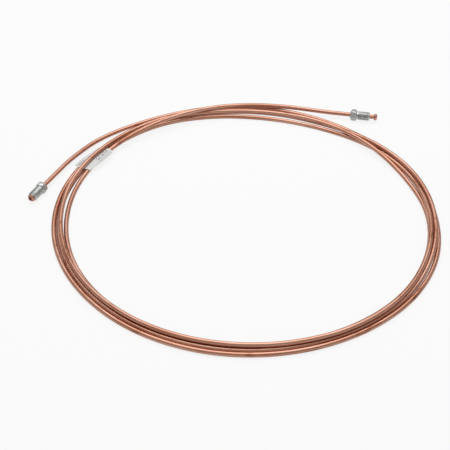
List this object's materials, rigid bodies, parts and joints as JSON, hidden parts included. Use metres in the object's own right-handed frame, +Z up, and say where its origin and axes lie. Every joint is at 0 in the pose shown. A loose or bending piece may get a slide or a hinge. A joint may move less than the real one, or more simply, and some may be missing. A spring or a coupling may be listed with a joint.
{
  "type": "brake line",
  "caption": "Copper brake tube in a loose coil, with a bubble flare and a threaded steel tube nut at each end and a small paper label in its turns.",
  "frame": {"origin": "middle of the whole part's box, on the floor that the coil lies on", "axes": "+Z up out of the coil's plane, +X to the right along its longest side, +Y to the back, where the two ends leave the coil"},
  "size_m": [0.4163, 0.3909, 0.0145],
  "materials": {
    "copper": "drawn bare copper, satin, slightly toned",
    "zinc_steel": "bright zinc plate",
    "label_paper": "matt white paper"
  },
  "bodies": {
    "line": {"tube": "copper", "label": "label_paper"},
    "left_nut": {"left_nut": "zinc_steel"},
    "right_nut": {"right_nut": "zinc_steel"}
  },
  "joints": [
    {"name": "left_nut_turn", "type": "hinge", "parent": "line", "child": "left_nut", "pos_m": [-0.20401, 0.02262, 0.0055], "axis": [-0.4399, -0.898, 0], "continuous": true},
    {"name": "right_nut_slide", "type": "slide", "parent": "line", "child": "right_nut", "axis": [0.9833, -0.1822, 0], "range_m": [-0.018, 0.0054]}
  ]
}
